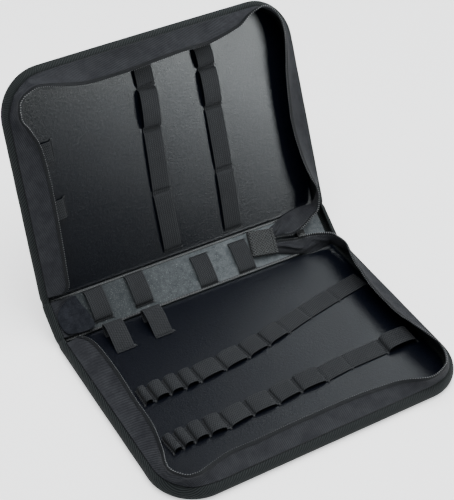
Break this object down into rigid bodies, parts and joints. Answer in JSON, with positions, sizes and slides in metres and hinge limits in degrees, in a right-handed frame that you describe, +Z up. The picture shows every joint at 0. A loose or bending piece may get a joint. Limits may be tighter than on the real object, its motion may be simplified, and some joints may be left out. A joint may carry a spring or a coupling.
{
  "type": "zip-round tool wallet",
  "caption": "Empty zip-round tool wallet lying open like a book, with boards, felt spine, elastic loop rows, straps and soft zip bands.",
  "frame": {"origin": "centre of the base half's flat underside, on the surface it lies on", "axes": "+X along the spine to the right as pictured, +Y from the base half towards the lid, +Z up"},
  "size_m": [0.344, 0.3871, 0.2555],
  "materials": {
    "twill": "dark grey twill over thin padding",
    "band_cloth": "fine plain weave, dark purple-grey",
    "board": "smooth semi-matte black",
    "felt": "grey needled felt",
    "facing": "mottled blue-grey felt",
    "elastic": "ribbed woven elastic",
    "webbing": "coarse woven webbing with light flecks",
    "zip": "zip tape with moulded coil",
    "slider": "black enamel"
  },
  "bodies": {
    "root": {"outer_cover": "twill", "base_board": "board", "lid_board": "board", "spine_lining": "felt", "base_band": "band_cloth", "lid_band": "band_cloth", "base_zip": "zip", "lid_zip": "zip", "zip_end_tab": "webbing", "zip_slider": "slider", "spine_end_gusset": "band_cloth", "spine_end_facing": "facing", "spine_loop_1": "elastic", "spine_loop_2": "elastic", "spine_loop_3": "elastic", "spine_loop_4": "elastic", "tab_loop_1": "elastic", "tab_loop_2": "elastic", "base_loops_back": "elastic", "base_loops_front": "elastic", "lid_strap_left": "elastic", "lid_strap_right": "elastic", "lid_side_loop_1": "elastic", "lid_side_loop_2": "elastic"}
  },
  "joints": []
}
